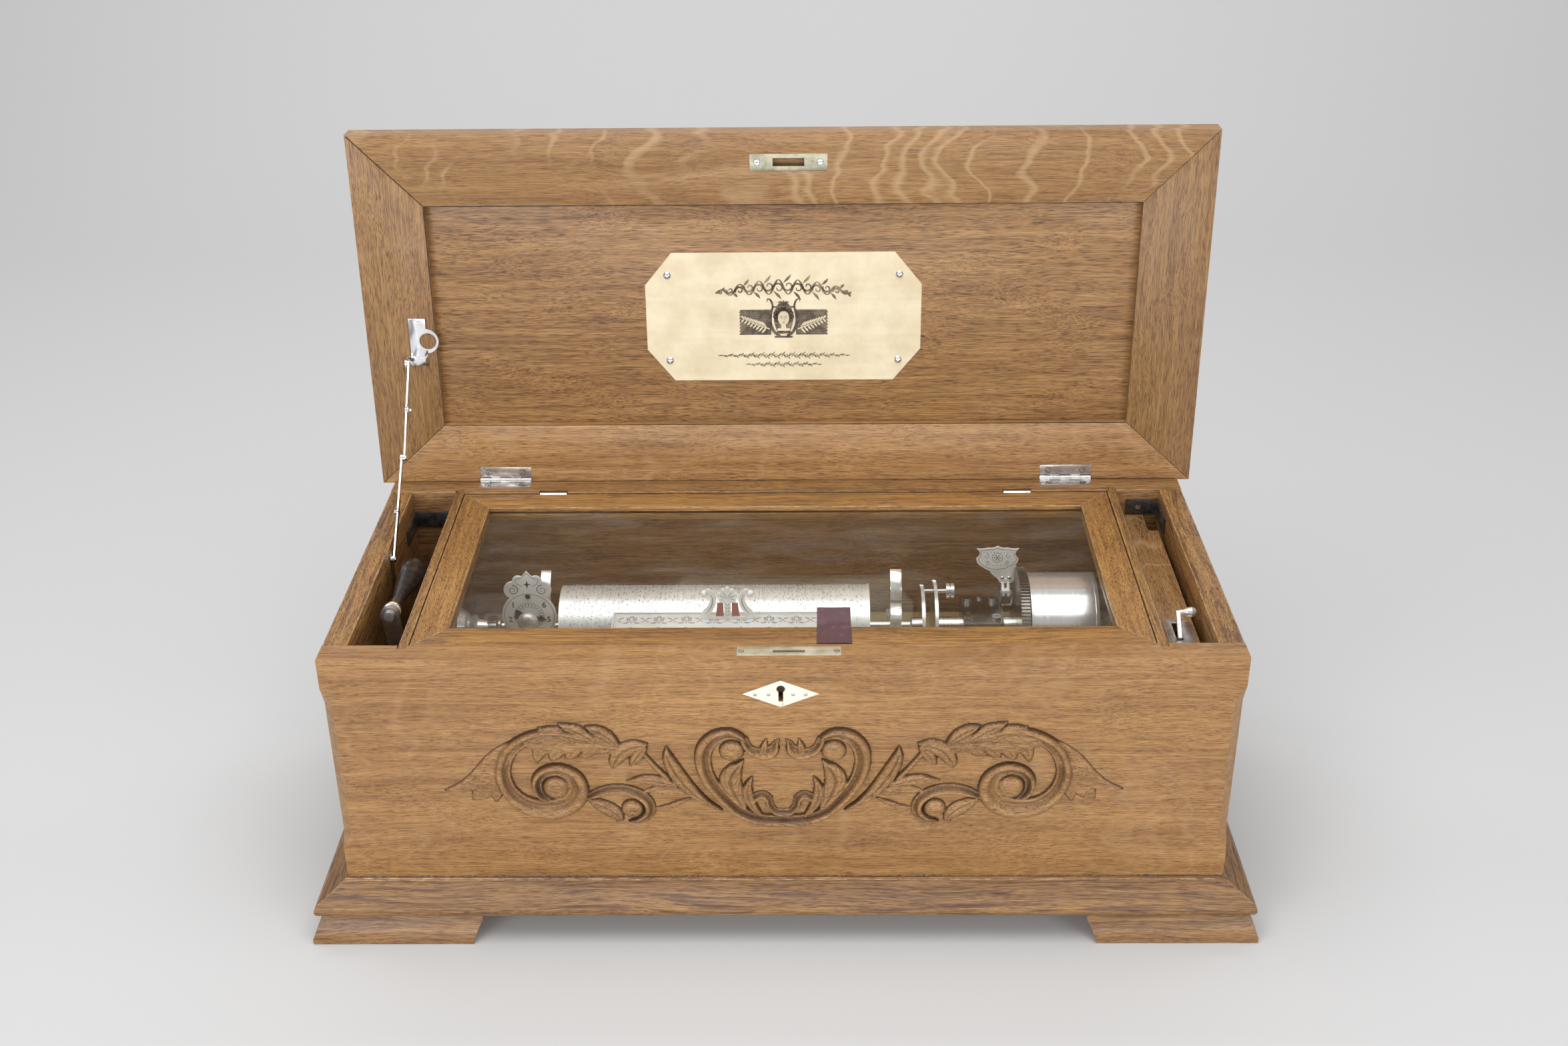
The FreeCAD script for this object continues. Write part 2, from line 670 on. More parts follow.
def stay_elbow(head):
    """Where the two arms meet, below the line from the case to the lid."""
    dy = head[0] - STAY_FOOT[0]
    dz = head[1] - STAY_FOOT[1]
    span = math.hypot(dy, dz)
    along = (STAY_LOWER_L ** 2 - STAY_UPPER_L ** 2 + span ** 2) / (2 * span)
    aside = math.sqrt(max(STAY_LOWER_L ** 2 - along ** 2, 0.0))
    uy = dy / span
    uz = dz / span
    return (STAY_FOOT[0] + along * uy + aside * uz, STAY_FOOT[1] + along * uz - aside * uy)


def angle_to(start, end):
    return math.degrees(math.atan2(end[1] - start[1], end[0] - start[0]))


STAY_HEAD_SHUT = rotate_about_hinge(STAY_HEAD, OPEN_DEG)
ELBOW_OPEN = stay_elbow(STAY_HEAD)
ELBOW_SHUT = stay_elbow(STAY_HEAD_SHUT)
LOWER_TURN = angle_to(STAY_FOOT, ELBOW_SHUT) - angle_to(STAY_FOOT, ELBOW_OPEN)
UPPER_TURN = angle_to(STAY_HEAD_SHUT, ELBOW_SHUT) - angle_to(STAY_HEAD, ELBOW_OPEN) - OPEN_DEG
UPPER_TURN = (UPPER_TURN + 180.0) % 360.0 - 180.0


def stay_arm(start, end, x0, bosses, holes):
    """A flat arm with round ends and a small turned knob in its middle."""
    length = math.hypot(end[0] - start[0], end[1] - start[1])
    ny = -(end[1] - start[1]) / length * STAY_HALF_W * 0.72
    nz = (end[0] - start[0]) / length * STAY_HALF_W * 0.72
    quad = [
        (start[0] + ny, start[1] + nz),
        (end[0] + ny, end[1] + nz),
        (end[0] - ny, end[1] - nz),
        (start[0] - ny, start[1] - nz),
    ]
    arm = plate_yz(quad, x0, x0 + STAY_T)
    ends = [cyl_x(STAY_HALF_W, x0, x0 + STAY_T, *p) for p in (start, end)]
    knobs = []
    for t in bosses:
        y = start[0] + (end[0] - start[0]) * t
        z = start[1] + (end[1] - start[1]) * t
        knobs.append(cyl_x(STAY_HALF_W, x0, x0 + STAY_T, y, z))
    arm = fuse(arm, *ends, *knobs)
    return cut(arm, *[cyl_x(PIN_R + RUN_FIT, x0 - 1, x0 + STAY_T + 1, *p) for p in holes])


def stay_lower_arm():
    return stay_arm(STAY_FOOT, ELBOW_OPEN, STAY_X, [0.46], [STAY_FOOT])


def stay_upper_arm():
    x0 = STAY_X + STAY_T + STAY_GAP
    arm = stay_arm(STAY_HEAD, ELBOW_OPEN, x0, [0.5], [STAY_HEAD])
    flush = x0 + STAY_T
    rivet = turned_x([(flush, 2.4), (flush + 0.8, 2.2), (flush + 1.4, 1.0)], *ELBOW_OPEN)
    return fuse(arm, rivet)


def stay_case_bracket():
    y, z = STAY_FOOT
    plate = box(-IN_X, -IN_X + 1.6, y - 5, y + 5, z - 24, z + 5)
    pin = cyl_x(PIN_R, -IN_X + 1, STAY_X + STAY_T + 0.3, *STAY_FOOT)
    boss = cyl_x(3.0, -IN_X + 1, STAY_X - 0.3, *STAY_FOOT)
    flush = STAY_X + STAY_T
    head = turned_x([(flush + 0.15, 2.6), (flush + 0.8, 2.2), (flush + 1.1, 1.0)], *STAY_FOOT)
    return fuse(plate, pin, boss, head)


def stay_bracket_screws():
    y = HINGE_Y
    return [wood_screw(-324, y - s, RIM_Z - 1.5, (0, 0, -1), 2.2, 10) for s in (154, 121)]


def stay_lid_bracket():
    """A plate on the lid's rail with a ring and an ear for the upper arm."""
    head = STAY_HEAD_SHUT
    y0 = HINGE_Y - 158
    y1 = HINGE_Y - 114
    strip = box(-333, -318, y0, y1, RIM_Z - 1.5, RIM_Z)
    ring = fuse(cyl_z(11.5, RIM_Z - 1.5, RIM_Z, -319, HINGE_Y - 137), strip)
    ring = cut(ring, cyl_z(7.5, RIM_Z - 3, RIM_Z + 1, -317, HINGE_Y - 137), *stay_bracket_screws())
    x1 = STAY_X + STAY_T
    ear = box(x1 - 1.6, x1, head[0] - 4, head[0] + 4, head[1], RIM_Z)
    flange = box(x1 - 1.6, -330, head[0] - 4, head[0] + 4, RIM_Z - 1.5, RIM_Z)
    ear = fuse(ear, cyl_x(4.0, x1 - 1.6, x1, *head), flange)
    arm_x = x1 + STAY_GAP
    pin = cyl_x(PIN_R, x1 - 1.2, arm_x + STAY_T + 0.3, *head)
    flush = arm_x + STAY_T
    cap = turned_x([(flush + 0.15, 2.6), (flush + 0.9, 2.0), (flush + 1.2, 1.0)], *head)
    return open_lid(fuse(ring, ear, pin, cap))


def lid_wood_screws():
    return open_lid(group(*leaf_screws(1), *strike_screws(), *stay_bracket_screws()))


def case_wood_screws():
    return group(*leaf_screws(-1), *lock_screws(), *iron_screws())


# ---------------------------------------------------------------- glass lid


def glass_frame_rails():
    rim = box(-GLASS_X, GLASS_X, -GLASS_Y, GLASS_Y, GLASS_BOTTOM, GLASS_TOP)
    hole = box(-GLASS_OPEN_X, GLASS_OPEN_X, -GLASS_OPEN_Y, GLASS_OPEN_Y, GLASS_BOTTOM - 1, GLASS_TOP + 1)
    room_x = GLASS_OPEN_X + 6
    room_y = GLASS_OPEN_Y + 6
    rebate = box(-room_x, room_x, -room_y, room_y, PANE_Z - 0.1, PANE_Z + PANE_T + 0.1)
    rim = cut(rim, hole, rebate, *glass_hinge_rooms())
    gx, gy, ox, oy = GLASS_X, GLASS_Y, GLASS_OPEN_X, GLASS_OPEN_Y
    front = [(-gx, -gy), (gx, -gy), (ox, -oy), (-ox, -oy)]
    right = [(gx, -gy), (gx, gy), (ox, oy), (ox, -oy)]
    plans = [front, [(x, -y) for x, y in front], right, [(-x, y) for x, y in right]]
    return group(*[rim.common(plate_xy(plan, GLASS_BOTTOM - 1, GLASS_TOP + 1)) for plan in plans])


def glass_hinge_rooms():
    room = box(-223.5, -198.5, GLASS_Y - 2.4, GLASS_Y + 1, GLASS_TOP - 8, GLASS_TOP + 1)
    return [room, mirrored(room)]


def glass_pane():
    half_x = GLASS_OPEN_X + 5.5
    half_y = GLASS_OPEN_Y + 5.5
    return box(-half_x, half_x, -half_y, half_y, PANE_Z, PANE_Z + PANE_T)


def glass_lid_hinges():
    """The moving leaf and knuckle of the two small glass-lid hinges."""
    leaf = box(-223.2, -198.8, GLASS_Y - 2.2, GLASS_Y - 1.0, GLASS_TOP - 7.5, GLASS_TOP - 0.4)
    knuckle = cyl_x(1.3, -223.2, -198.8, GLASS_Y, GLASS_TOP - 0.2)
    web = box(-223.2, -198.8, GLASS_Y - 2.2, GLASS_Y, GLASS_TOP - 1.2, GLASS_TOP - 0.2)
    hinge = fuse(leaf, web, knuckle)
    return group(hinge, mirrored(hinge))


def lift_strap():
    """A leather tab laid over the front rail, its free end curling upwards."""
    rise = [(-131.0, 0.0), (-104.0, 0.0), (-96.0, 0.6), (-89.0, 2.4), (-83.0, 5.6)]
    low = [(y, GLASS_TOP + z) for y, z in rise]
    high = [(y, z + STRAP_T) for y, z in reversed(low)]
    return plate_yz(low + high, *STRAP_X)


# ---------------------------------------------------------------- crank


def crank_axis():
    back = V(*GRIP_BACK)
    front = V(CRANK_X, CRANK_Y, CRANK_HEAD_Z)
    return back, (back - front).normalize()


def crank_arm():
    """Flat arm, grip spindle at its head and the winding socket at its foot."""
    fx, fz = CRANK_FOOT
    lean = math.atan2(CRANK_HEAD_Z - fz, CRANK_X - fx)
    nx = math.sin(lean) * 7.0
    nz = -math.cos(lean) * 7.0
    outline = [(CRANK_X + nx, CRANK_HEAD_Z + nz), (fx + nx, fz + nz)]
    outline += [(fx - nx, fz - nz), (CRANK_X - nx, CRANK_HEAD_Z - nz)]
    bar = plate_xz(outline, CRANK_Y - 5, CRANK_Y)
    eye = cyl_y(7.8, CRANK_Y - 5, CRANK_Y, CRANK_X, CRANK_HEAD_Z)
    bar = fuse(bar, eye, cyl_y(9, CRANK_Y - 5, CRANK_Y, fx, fz))
    socket = cyl_y(7.5, CRANK_Y - 28, CRANK_Y - 4, fx, fz)
    square = box(fx - 3.6, fx + 3.6, CRANK_Y - 29, CRANK_Y - 10, fz - 3.6, fz + 3.6)
    back, along = crank_axis()
    base = V(CRANK_X, CRANK_Y, CRANK_HEAD_Z)
    spindle = Part.makeCylinder(2.5, 92.0, base - along * 7, along)
    button = Part.makeCylinder(4.2, 3.0, base - along * 8, along)
    return cut(fuse(bar, socket, spindle, button), square)


def crank_handle():
    """Turned black grip: narrow by the ferrule, swelling to a round end."""
    back, along = crank_axis()
    length = 100.0
    profile = [(3.0, 6.6), (10.0, 6.6), (12.0, 5.6), (30.0, 5.0), (48.0, 7.2)]
    profile += [(68.0, 10.2), (84.0, 11.4), (94.0, 10.0)]
    profile += [(99.0, 6.0), (length, 2.0)]
    base = V(CRANK_X, CRANK_Y, CRANK_HEAD_Z)
    turned_grip = turned_x(profile, 0, 0)
    bore = cyl_x(2.5 + RUN_FIT, 0, 87.0, 0, 0)
    grip = cut(turned_grip, bore)
    grip.Placement = FreeCAD.Placement(base, FreeCAD.Rotation(V(1, 0, 0), along))
    return grip


# ---------------------------------------------------------------- mechanism


def bedplate():
    plate = box(-282, 290, -100, 120, BED_TOP - BED_T, BED_TOP)
    barrel_gap = box(198, 270.5, -4, 64, BED_TOP - BED_T - 1, BED_TOP + 1)
    return cut(plate, barrel_gap, *bed_screws())


def bed_screws():
    return [machine_screw(x, y, BED_TOP, 5.0, 4.0, 26.0) for x in (-272, 281) for y in (-84, 104)]


def comb_base():
    """Brass bar under the comb's heel, with the two posts that carry the zither."""
    bar = box(COMB_X[0] - 4, COMB_X[1] + 4, -62, -46, BED_TOP, COMB_Z)
    py, pz = ZITHER_PIVOT
    posts = []
    for x0, inward in ((ZITHER_X[0] - 3.0, 1), (ZITHER_X[1] + 0.4, -1)):
        posts.append(box(x0, x0 + 2.6, -67, -60.2, BED_TOP, pz + 3))
        posts.append(box(x0, x0 + 2.6, -67, py + 3, pz - 6, pz + 3))
        pin_x = x0 + 1.3
        ends = sorted((pin_x, pin_x + inward * 3.5))
        posts.append(cyl_x(1.5, *ends, py, pz))
    return cut(fuse(bar, *posts), *comb_screws())


def comb_outline():
    """The steel comb in plan: a solid heel with tapered teeth sawn in it."""
    pitch = (COMB_X[1] - COMB_X[0]) / COMB_TEETH
    points = [(COMB_X[0], -60.0)]
    for i in range(COMB_TEETH):
        x = COMB_X[0] + i * pitch
        points += [(x + 0.25, -44.0), (x + 0.7, COMB_TIP_Y)]
        points += [(x + pitch - 0.7, COMB_TIP_Y), (x + pitch - 0.25, -44.0)]
    return points + [(COMB_X[1], -60.0)]


def comb():
    return cut(plate_xy(comb_outline(), COMB_Z, COMB_Z + COMB_T), *comb_screws())


def comb_screws():
    count = 8
    step = (COMB_X[1] - COMB_X[0] - 24) / (count - 1)
    top = COMB_Z + COMB_T
    return [machine_screw(COMB_X[0] + 12 + i * step, -53, top, 3.2, 2.6, 12) for i in range(count)]


def block_screws():
    places = [(161.5, 19), (184.5, 19), (161.5, 52), (184.5, 52), (173, 56), (161.5, 29)]
    sizes = [4.0, 4.0, 4.0, 4.0, 2.4, 1.8]
    return [machine_screw(x, y, BLOCK_Z, r, r * 0.9, 4) for (x, y), r in zip(places, sizes)]


def mechanism_screws():
    return group(*bed_screws(), *comb_screws(), *block_screws())


def zither():
    """Engraved cover plate, the lyre standing on it and the damping bar below."""
    x0, x1 = ZITHER_X
    py, pz = ZITHER_PIVOT
    plate = box(x0, x1, py - 2, ZITHER_BACK_Y, ZITHER_Z, ZITHER_Z + 2)
    bar = box(x0 + 2, x1 - 2, -31, -23, COMB_Z + COMB_T + 0.8, ZITHER_Z)
    ears = [box(a, a + 2, py - 3, py + 3, pz - 3, ZITHER_Z) for a in (x0, x1 - 2)]
    cover = cut(fuse(plate, bar, *ears), cyl_x(1.5 + RUN_FIT, x0 - 1, x1 + 1, py, pz))
    return group(cover, lyre((x0 + x1) / 2, ZITHER_Z + 2))


def lyre(mid, top):
    """Two curved horns with ball ends, and a column that carries a leaf crest."""
    y0, y1 = LYRE_Y
    horn = [(20.0, 3.0, 3.0), (18.5, 6.0, 2.8), (15.0, 10.0, 2.6), (12.6, 15.0, 2.6), (12.0, 20.0, 2.5)]
    horn += [(13.2, 24.5, 2.3), (16.0, 27.0, 2.1)]
    petals = [(0.0, 29.0), (3.8, 27.2), (6.6, 23.6)]
    pieces = [box(mid - 22, mid + 22, y0, y1, top, top + 2.5)]
    pieces.append(box(mid - 2.8, mid + 2.8, y0, y1, top, top + 21))
    pieces.append(box(mid - 7, mid + 7, y0, y1, top + 16.5, top + 19))
    for side in (-1, 1):
        pieces.append(bar_xz([(mid + side * x, top + z, half) for x, z, half in horn], y0, y1))
        pieces.append(Part.makeSphere(3.4, V(mid + side * 19.6, (y0 + y1) / 2, top + 24.6)))
        for x, z in petals:
            pieces.append(bar_xz([(mid, top + 20, 1.4), (mid + side * x, top + z, 1.9)], y0, y1))
    return fuse(pieces[0], *pieces[1:])


def cylinder_shell():
    drum = cyl_x(CYL_R, *CYL_X)
    hollow = cyl_x(CYL_R - CYL_WALL, CYL_X[0] + 3, CYL_X[1] - 3)
    rim = cyl_x(CYL_R + 0.8, CYL_X[1] - 1.8, CYL_X[1])
    return cut(fuse(drum, rim), hollow, cyl_x(ARBOR_R, CYL_X[0] - 1, CYL_X[1] + 1))


def cylinder_arbor():
    """The cylinder's own axle with its ring, sleeve and driven disc."""
    axle = cyl_x(ARBOR_R, -276, 113)
    ring = turned_x([(-254.5, 4.0), (-253.5, 6.4), (-251.8, 7.2), (-250.0, 6.4), (-249.0, 4.0)])
    sleeve = turned_x([(110.0, 5.0), (112.0, 7.0), (122.0, 7.0)])
    disc = cyl_x(DISC_A[1], DISC_A[0], DISC_A[0] + DISC_T)
    hole = coupling_rod(1.9, DISC_A[0] - 1, DISC_A[0] + DISC_T + 1)
    return cut(fuse(axle, ring, sleeve, disc), hole)


def coupling_rod(radius, x0, x1):
    a = math.radians(PIN_HOLE_DEG)
    return cyl_x(radius, x0, x1, AXIS_Y + PIN_HOLE_R * math.cos(a), AXIS_Z + PIN_HOLE_R * math.sin(a))


def coupling_pin():
    """The sliding pin that locks both discs, with its double milled nut."""
    stem = coupling_rod(1.8, DISC_A[0], 146.0)
    nuts = [coupling_rod(6.8, x, x + 3.0) for x in (142.0, 146.0)]
    neck = coupling_rod(4.5, 144.5, 146.5)
    return fuse(stem, neck, *nuts)


def pedestal(x0, x1, half_top, half_foot, top, slot_r):
    outline = [(AXIS_Y - half_foot, BED_TOP), (AXIS_Y + half_foot, BED_TOP)]
    outline.append((AXIS_Y + half_foot, BED_TOP + 8))
    outline += [(AXIS_Y + half_top, AXIS_Z - 12), (AXIS_Y + half_top, top), (AXIS_Y - half_top, top)]
    outline += [(AXIS_Y - half_top, AXIS_Z - 12), (AXIS_Y - half_foot, BED_TOP + 8)]
    return cut(plate_yz(outline, x0, x1), cyl_x(slot_r, x0 - 1, x1 + 1))


def bearing_pedestals():
    """Open bearings for the arbor, the tailstock, and the barrel's end plate."""
    parts = []
    slot_r = ARBOR_R + RUN_FIT
    for x0, x1 in (LEFT_LATCH_X, RIGHT_LATCH_X):
        post = pedestal(x0, x1, 11, 17, AXIS_Z + 5, slot_r)
        post = cut(post, box(x0 - 1, x1 + 1, AXIS_Y - slot_r, AXIS_Y + slot_r, AXIS_Z, AXIS_Z + 9))
        ear_y, ear_z = LATCH_PIVOT
        lug = box(x0 - 2.4, x0 - 0.4, AXIS_Y + 8, ear_y + 3.5, BED_TOP, ear_z + 3.5)
        post = fuse(post, lug, box(x0 - 1, x0 + 3, AXIS_Y + 8, AXIS_Y + 11, BED_TOP, AXIS_Z - 4))
        pin = cyl_x(1.5, x0 - 2, x1 + 0.6, ear_y, ear_z)
        parts.append(fuse(post, pin))
    bell = [(-292.8, 17.5), (-286.0, 17.0), (-280.0, 13.5), (-277.0, 9.5), (-274.5, 10.6)]
    bell += [(-271.5, 10.6), (-270.0, 7.0), (-262.0, 5.6)]
    tail = cut(turned_x(bell), cyl_x(ARBOR_R + RUN_FIT, -279.0, -261.0))
    parts.append(tail)
    end_post = pedestal(274.0, 282.0, 13, 22, AXIS_Z + 13, WINDER_R + RUN_FIT)
    cy, cz = CLICK_PIVOT
    ear = box(276, 282, cy - 4, AXIS_Y - 8, cz - 8, cz + 4)
    click_pin = cyl_x(1.5, 281, 289.4, cy, cz)
    parts.append(fuse(cut(fuse(end_post, ear), cyl_x(WINDER_R + RUN_FIT, 273, 283)), click_pin))
    return group(*parts)


def latch(x0, x1):
    """A spring strap hooked over the arbor, with a thumb tab standing up."""
    py, pz = LATCH_PIVOT
    outer = arc_points(AXIS_Y, AXIS_Z + 7, 14.4, 10, 165, 12)
    inner = arc_points(AXIS_Y, AXIS_Z + 7, 11.8, 165, 10, 12)
    strap = plate_yz([(py + 3.4, pz)] + outer + inner + [(py - 3.0, pz)], x0, x1)
    boss = cyl_x(3.4, x0, x1, py, pz)
    pad = box(x0, x1, AXIS_Y - 3.4, AXIS_Y + 3.4, AXIS_Z + 5.5, AXIS_Z + 22)
    tab_low = arc_points(AXIS_Y + 26, AXIS_Z + 23, 24.0, 175, 112, 6)
    tab_high = arc_points(AXIS_Y + 26, AXIS_Z + 23, 26.6, 112, 175, 6)
    tab = plate_yz(tab_low + tab_high, x0, x1)
    body = fuse(strap, boss, pad, tab)
    return cut(body, cyl_x(1.5 + RUN_FIT, x0 - 1, x1 + 1, py, pz))


def dial_plate():
    """Round dial facing the front, with a scrolled crown and a flared foot."""
    y0, y1 = DIAL_Y
    disc = cyl_y(DIAL_R, y0, y1, DIAL_X, DIAL_Z)
    lobes = []
    for side in (-1, 1):
        lobes.append(cyl_y(8.0, y0, y1, DIAL_X + side * 12.5, DIAL_Z + 25.5))
        lobes.append(cyl_y(5.2, y0, y1, DIAL_X + side * 7.5, DIAL_Z + 34.0))
    peak = [(0, 20), (6, 26), (8, 35), (4.6, 38.2), (0, 44), (-4.6, 38.2), (-8, 35), (-6, 26)]
    crest = arcs_xz([(DIAL_X + x, DIAL_Z + z) for x, z in peak], y0, y1)
    web = box(DIAL_X - 12, DIAL_X + 12, y0, y1, DIAL_Z + 18, DIAL_Z + 26)
    flare = [(-16, BED_TOP), (16, BED_TOP), (20, DIAL_Z - 8), (-20, DIAL_Z - 8)]
    foot = plate_xz([(DIAL_X + x, z) for x, z in flare], y0, y1)
    flange = box(DIAL_X - 16, DIAL_X + 16, y0 - 10, y0 + 0.5, BED_TOP, BED_TOP + 2.5)
    plate = fuse(disc, crest, web, foot, flange, *lobes)
    return cut(plate, cyl_y(2.5 + RUN_FIT, y0 - 1, y1 + 1, DIAL_X, DIAL_Z))


def tune_selector():
    """Knob, blued pointer and snail cam on one spindle, set at the second tune."""
    knob = Part.makeSphere(8.6, V(DIAL_X, 0.5, DIAL_Z)).common(cyl_y(8.4, -12, 4.5, DIAL_X, DIAL_Z))
    spindle = cyl_y(2.5, 3.0, 15.0, DIAL_X, DIAL_Z)
    pointing = -(90 + 360.0 / 7 * 2)
    arrow = [(-3, -1.6), (12, -1.2), (12, -3.5), (19, 0), (12, 3.5), (12, 1.2), (-3, 1.6)]
    hand = plate_xz(arrow, 0, 1.0)
    tail = plate_xz([(-3, -2), (-15, -6), (-17, 0), (-15, 6), (-3, 2)], 0, 1.0)
    pointer = fuse(hand, tail)
    pointer.rotate(V(0, 0, 0), V(0, 1, 0), pointing + 360)
    pointer.translate(V(DIAL_X, 9.4, DIAL_Z))
    snail_points = []
    for i in range(48):
        a = 2 * math.pi * i / 48
        radius = SNAIL_R + SNAIL_RISE * (a if a < math.pi * 1.5 else a - 2 * math.pi)
        snail_points.append((DIAL_X - radius * math.cos(a), DIAL_Z + radius * math.sin(a)))
    snail = plate_xz(snail_points, 13.6, 15.2)
    return fuse(knob, spindle, pointer, snail)


def shift_collar():
    """The collar that the snail cam pushes to line up another tune."""
    ring = cyl_x(9.0, -246.0, -240.0)
    arm = plate_yz([(26, 183), (34, 183), (20, 201), (13.8, 201), (13.8, 196)], -242.5, -240.0)
    finger = box(-242.5, DIAL_X - SNAIL_R - SNAIL_GAP, 13.8, 17.0, DIAL_Z - 2, DIAL_Z + 2)
    return cut(fuse(ring, arm, finger), cyl_x(ARBOR_R + RUN_FIT, -248, -238))


def drive_shaft():
    tube = cyl_x(DRIVE_R, DISC_B[0], WHEEL_X[0] + 1)
    disc = cyl_x(DISC_B[1], DISC_B[0], DISC_B[0] + DISC_T)
    return cut(fuse(tube, disc), coupling_rod(1.9, DISC_B[0] - 1, DISC_B[0] + DISC_T + 1))


def drive_block():
    block = box(*BLOCK_X, *BLOCK_Y, BED_TOP, BLOCK_Z)
    ears = [box(a, a + 2.5, 46, 56, BLOCK_Z, CHECK_PIVOT[1] + 4) for a in (189.0, 199.5)]
    shelf = box(189.0, 202.0, 46, 60, BLOCK_Z - 6, BLOCK_Z)
    pin = cyl_x(1.4, 189.5, 201.5, *CHECK_PIVOT)
    body = fuse(block, shelf, *ears, pin)
    wheel_room = box(202.0, 204.0, 40, 62, 180, 200)
    return cut(body, cyl_x(DRIVE_R + RUN_FIT, 150, 200), wheel_room, *block_screws())


def great_wheel():
    wheel = gear(WHEEL_TEETH, GEAR_MODULE, *WHEEL_X, AXIS_Y, AXIS_Z, 0.45, 0.85, math.pi)
    return cut(wheel, cyl_x(DRIVE_R, WHEEL_X[0] - 1, WHEEL_X[0] + 1))


def spring_barrel():
    x0, x1 = BARREL_X
    drum = cyl_x(BARREL_R, x0, x1)
    hub = cyl_x(12.0, WHEEL_X[1], x0)
    hollow = cyl_x(BARREL_R - BARREL_WALL, x0 + 3, x1 - 3)
    return cut(fuse(drum, hub), hollow, cyl_x(WINDER_R + RUN_FIT, x0 + 1, x1 + 1))


def mainspring():
    """The wound steel ribbon, clear of the arbor and of the barrel's wall."""
    turns = 7
    steps = 20
    inner = 22.0
    pitch = 2.8
    thick = 1.1
    low = []
    high = []
    for i in range(turns * steps + 1):
        a = 2 * math.pi * i / steps
        r = inner + pitch * i / steps
        low.append((AXIS_Y + r * math.cos(a), AXIS_Z + r * math.sin(a)))
        high.append((AXIS_Y + (r + thick) * math.cos(a), AXIS_Z + (r + thick) * math.sin(a)))
    return plate_yz(low + high[::-1], BARREL_X[0] + 5, BARREL_X[1] - 5)


def winding_arbor():
    """Arbor from inside the barrel to the square end in the case's right side."""
    axle = cyl_x(WINDER_R, BARREL_X[0] + 1.5, 334)
    core = cyl_x(14.0, BARREL_X[0] + 6, BARREL_X[1] - 6)
    square = box(333, 354, AXIS_Y - 3.5, AXIS_Y + 3.5, AXIS_Z - 3.5, AXIS_Z + 3.5)
    teeth = 16
    points = []
    for i in range(teeth):
        a = 2 * math.pi * i / teeth + 0.35
        points.append((AXIS_Y + 12.0 * math.cos(a), AXIS_Z + 12.0 * math.sin(a)))
        b = a + 0.05
        points.append((AXIS_Y + 9.6 * math.cos(b), AXIS_Z + 9.6 * math.sin(b)))
    ratchet = plate_yz(points, 284.0, 289.0)
    return fuse(axle, core, square, ratchet)


def winding_click():
    cy, cz = CLICK_PIVOT
    nose = [(cy, cz + 3.2), (cy + 12, cz + 2.0), (cy + 17, cz - 1.5)]
    nose += [(cy + 17, cz - 4.0), (cy, cz - 3.2)]
    pawl = fuse(plate_yz(nose, 284.5, 288.5), cyl_x(3.3, 284.5, 288.5, cy, cz))
    return cut(pawl, cyl_x(1.5 + RUN_FIT, 283, 290, cy, cz))


def safety_check():
    """Pivoted lever with a shield-shaped thumb plate and two check fingers."""
    py, pz = CHECK_PIVOT
    x_mid = 195.5
    shield_x = 187.5
    half = [(0, 215.5), (7, 216.4), (13, 220), (17.2, 223.6), (18.5, 228), (16.2, 230.8), (15.6, 234)]
    half += [(16.8, 236.2), (18.6, 238), (13.4, 237.6), (8.6, 238.6), (4.0, 238.6), (0, 240.4)]
    rim = half + [(-x, z) for x, z in reversed(half[1:-1])]
    shield = arcs_xz([(shield_x + x, z) for x, z in rim], 57.5, 59.0)
    neck_half = [(-7, 222), (7, 222), (5, 206), (-5, 206)]
    neck = plate_xz([(x_mid + x, z) for x, z in neck_half], 57.5, 59.0)
    legs = []
    for x in (x_mid - 3.6, x_mid + 1.2):
        legs.append(plate_yz([(59.0, 207), (57.5, 207), (py - 3, pz), (py + 3, pz)], x, x + 2.4))
        legs.append(cyl_x(3.0, x, x + 2.4, py, pz))
    legs.append(box(x_mid - 5, x_mid + 5, 56.5, 59.0, 204, 208))
    legs.append(box(x_mid - 3.6, x_mid + 3.6, py - 2.8, py + 2.8, pz + 1.8, pz + 4.2))
    lever = fuse(shield, neck, *legs)
    return cut(lever, cyl_x(1.4 + RUN_FIT, 185, 205, py, pz))


GOVERNOR_Y = AXIS_Y - (WHEEL_TEETH + PINION_TEETH) * GEAR_MODULE / 2
FAN_X = 189.0


def governor_frame():
    """Two cocks for the pinion's arbor and one for the fan's upright shaft."""
    cocks = []
    for x0, x1 in ((178.0, 182.0), (214.0, 218.0)):
        post = box(x0, x1, GOVERNOR_Y - 6, GOVERNOR_Y + 6, BED_TOP, AXIS_Z + 6)
        cocks.append(cut(post, cyl_x(1.5 + RUN_FIT, x0 - 1, x1 + 1, GOVERNOR_Y, AXIS_Z)))
    fan_post = box(FAN_X - 5, FAN_X + 5, FAN_Y - 20, FAN_Y - 13, BED_TOP, 212)
    foot = box(FAN_X - 5, FAN_X + 5, FAN_Y - 14, FAN_Y + 5, BED_TOP, 158)
    bridge = box(FAN_X - 5, FAN_X + 5, FAN_Y - 14, FAN_Y + 5, 208, 212)
    cock = cut(fuse(fan_post, foot, bridge), cyl_z(1.2 + RUN_FIT, 150, 220, FAN_X, FAN_Y))
    return group(cocks[0], cocks[1], cock)


